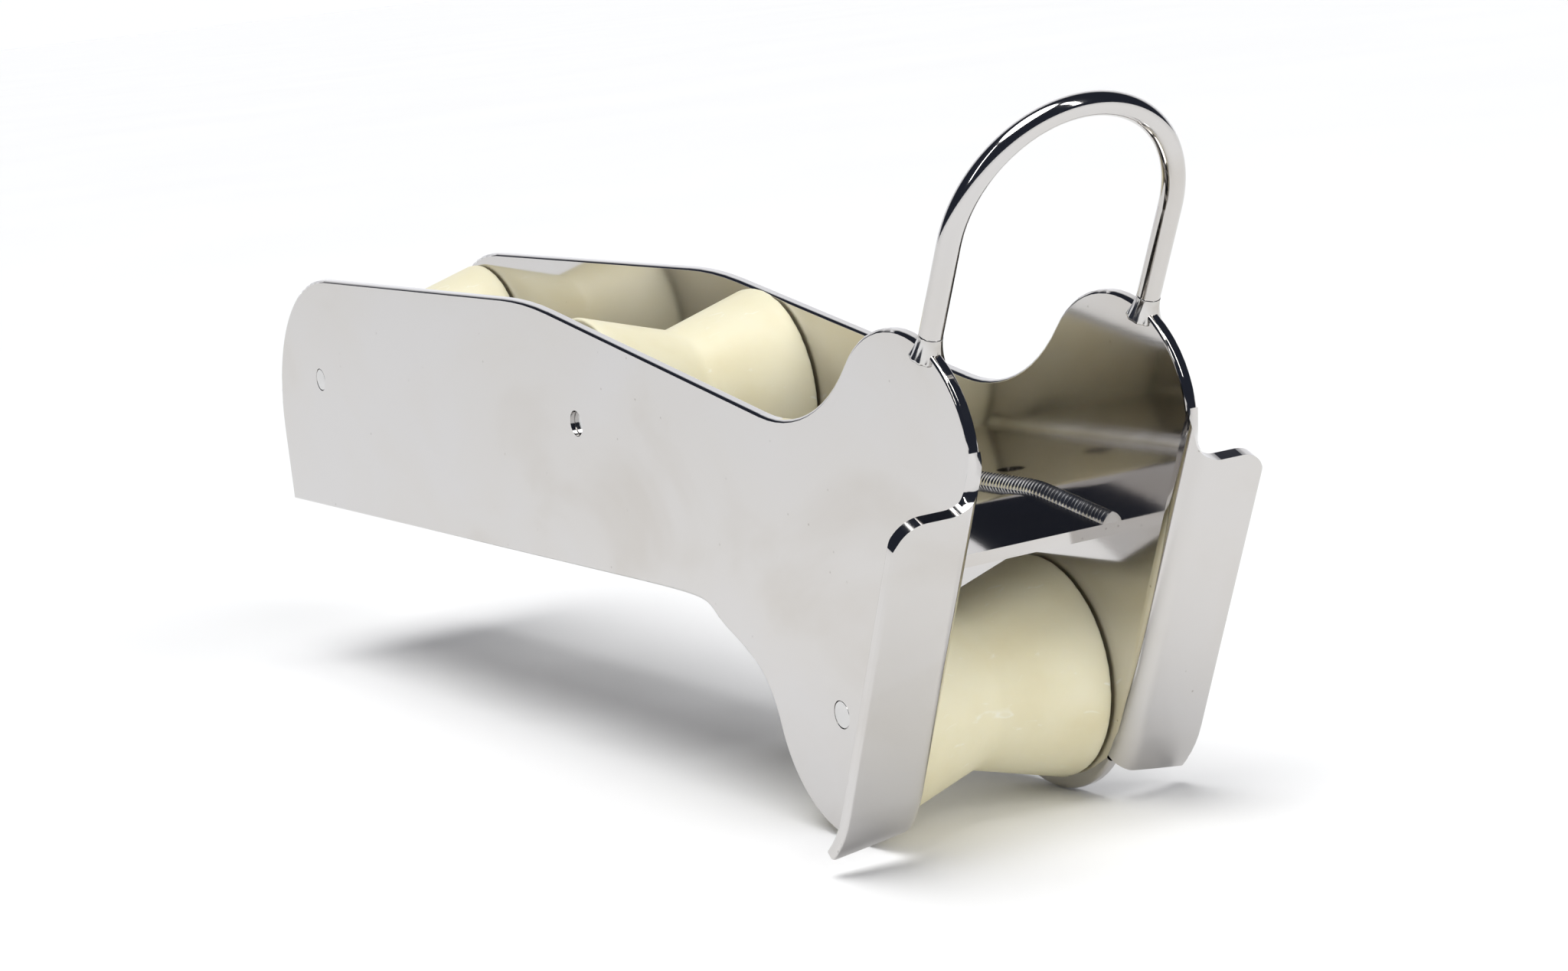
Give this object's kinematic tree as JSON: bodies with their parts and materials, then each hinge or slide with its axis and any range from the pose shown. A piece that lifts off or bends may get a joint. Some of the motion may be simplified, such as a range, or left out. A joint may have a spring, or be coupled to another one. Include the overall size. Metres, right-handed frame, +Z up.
{
  "type": "bow roller",
  "caption": "Long stainless bow roller: plate cheeks with a flared mouth, a bail hoop and grooved plastic rollers on cross axles.",
  "frame": {"origin": "centre of the deck bolt pattern, on the underside of the deck plate", "axes": "+X forward to the flared mouth, +Y to port, +Z up"},
  "size_m": [0.6121, 0.1478, 0.2538],
  "materials": {
    "polished_steel": "mirror-polished stainless plate and bar with faint polishing haze",
    "weld_metal": "rippled stainless weld, polished over",
    "axle_steel": "turned stainless bar, ends polished",
    "roller_plastic": "natural cream nylon, turned, with fine burrs at the rims"
  },
  "bodies": {
    "frame": {"port_cheek": "polished_steel", "starboard_cheek": "polished_steel", "hoop": "polished_steel", "chute_plate": "polished_steel", "deck_plate": "polished_steel", "port_hoop_weld": "weld_metal", "starboard_hoop_weld": "weld_metal", "port_chute_weld": "weld_metal", "starboard_chute_weld": "weld_metal", "port_deck_weld": "weld_metal", "starboard_deck_weld": "weld_metal", "rear_axle": "axle_steel", "middle_axle": "axle_steel", "front_axle": "axle_steel"},
    "rear_wheel": {"rear_roller": "roller_plastic"},
    "middle_wheel": {"middle_roller": "roller_plastic"},
    "front_wheel": {"front_roller": "roller_plastic"}
  },
  "joints": [
    {"name": "rear_spin", "type": "hinge", "parent": "frame", "child": "rear_wheel", "pos_m": [-0.1289, 0, 0.0602], "axis": [0, 1, 0], "continuous": true},
    {"name": "middle_spin", "type": "hinge", "parent": "frame", "child": "middle_wheel", "pos_m": [0.1302, 0, 0.0583], "axis": [0, 1, 0], "continuous": true},
    {"name": "front_spin", "type": "hinge", "parent": "frame", "child": "front_wheel", "pos_m": [0.3107, 0, -0.0312], "axis": [0, 1, 0], "continuous": true}
  ]
}
